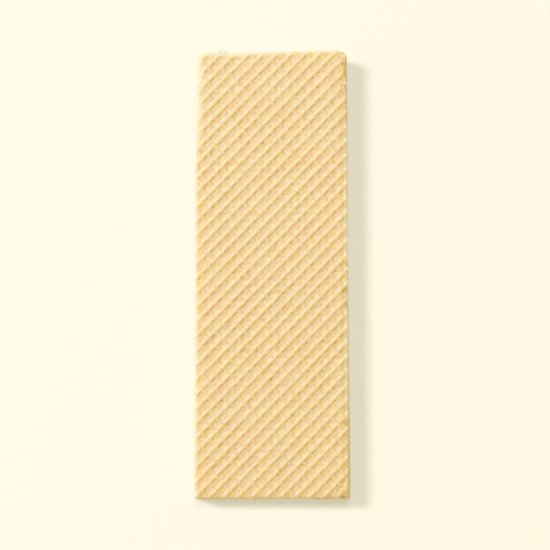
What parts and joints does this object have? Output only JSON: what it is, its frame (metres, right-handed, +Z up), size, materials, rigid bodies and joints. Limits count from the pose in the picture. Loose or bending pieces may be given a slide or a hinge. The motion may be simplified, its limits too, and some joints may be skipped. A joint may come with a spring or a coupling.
{
  "type": "cream-filled wafer",
  "caption": "Long flat cream-filled wafer: baked sheets with a diagonal lattice of ridges on the outer faces, and pale cream layers between them that show at the cut sides.",
  "frame": {"origin": "under the middle of the wafer, on the plane that it lies on", "axes": "+Y along the length, +X across the width, +Z up through the layers to the upper face"},
  "size_m": [0.0308, 0.0892, 0.0088],
  "materials": {
    "wafer": "dry, porous, matt pale golden baked wafer",
    "cream": "smooth, slightly soft ivory cream"
  },
  "bodies": {
    "root": {"wafer_sheet_bottom": "wafer", "cream_lower": "cream", "wafer_sheet_middle": "wafer", "cream_upper": "cream", "wafer_sheet_top": "wafer"}
  },
  "joints": []
}
